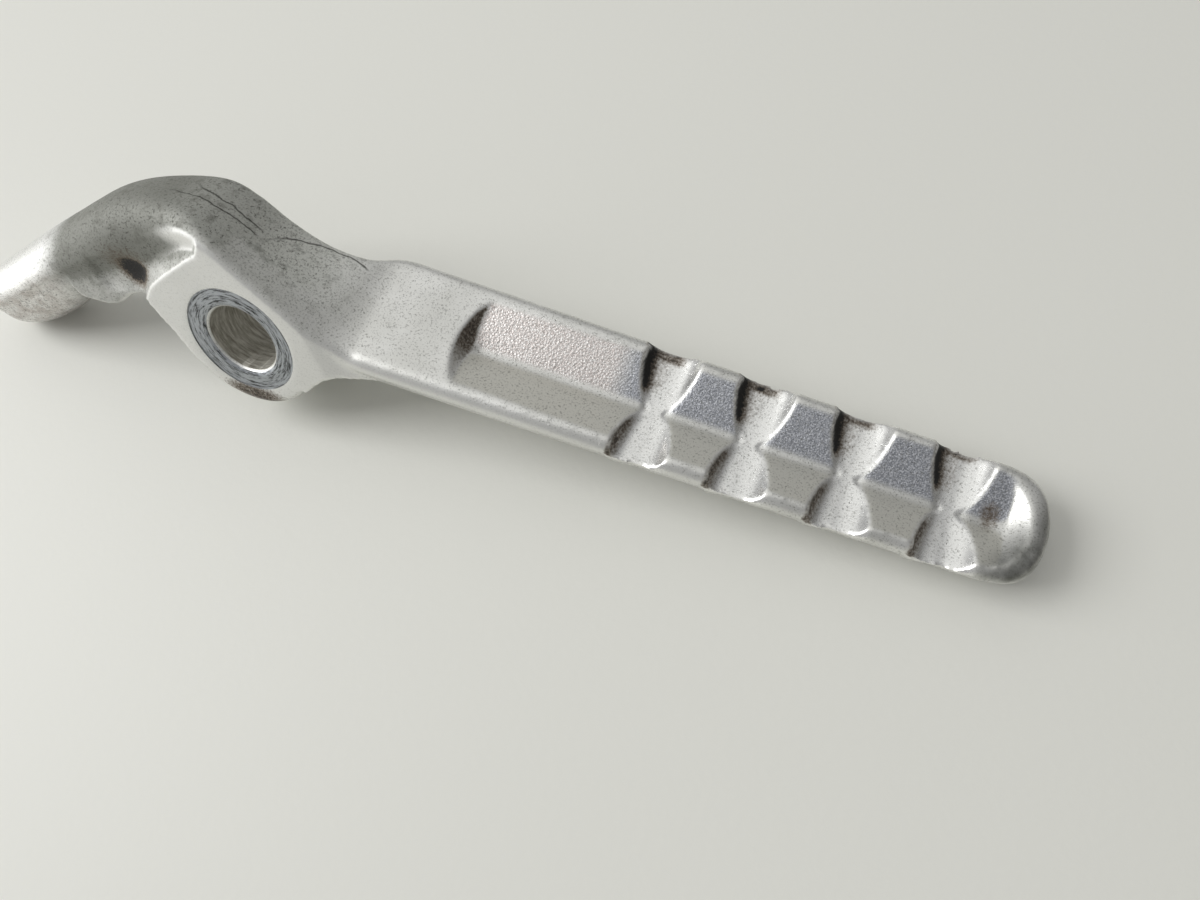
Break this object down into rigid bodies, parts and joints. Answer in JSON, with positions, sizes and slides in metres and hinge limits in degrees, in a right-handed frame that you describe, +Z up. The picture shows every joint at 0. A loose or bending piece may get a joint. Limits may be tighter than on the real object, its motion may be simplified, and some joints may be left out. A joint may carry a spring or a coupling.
{
  "type": "footpeg",
  "caption": "Forged light-alloy passenger footpeg with a grooved, scooped tread bar, an arched neck, a bored pivot boss and a curved thumb-ended tail.",
  "frame": {"origin": "centre of the pivot bore, halfway along it, with the peg lying as it rests on a flat surface", "axes": "+X along the peg from the pivot towards the tip, +Z up off the surface that it rests on, +Y towards the far cheek of the boss; the bore runs along Y, leaning down by about 24 degrees"},
  "size_m": [0.1869, 0.0275, 0.0346],
  "materials": {
    "forged_alloy": "shot-blasted forging worn to a satin sheen, with dull pitted arch and machined pivot ring"
  },
  "bodies": {
    "root": {"peg_forging": "forged_alloy"}
  },
  "joints": []
}
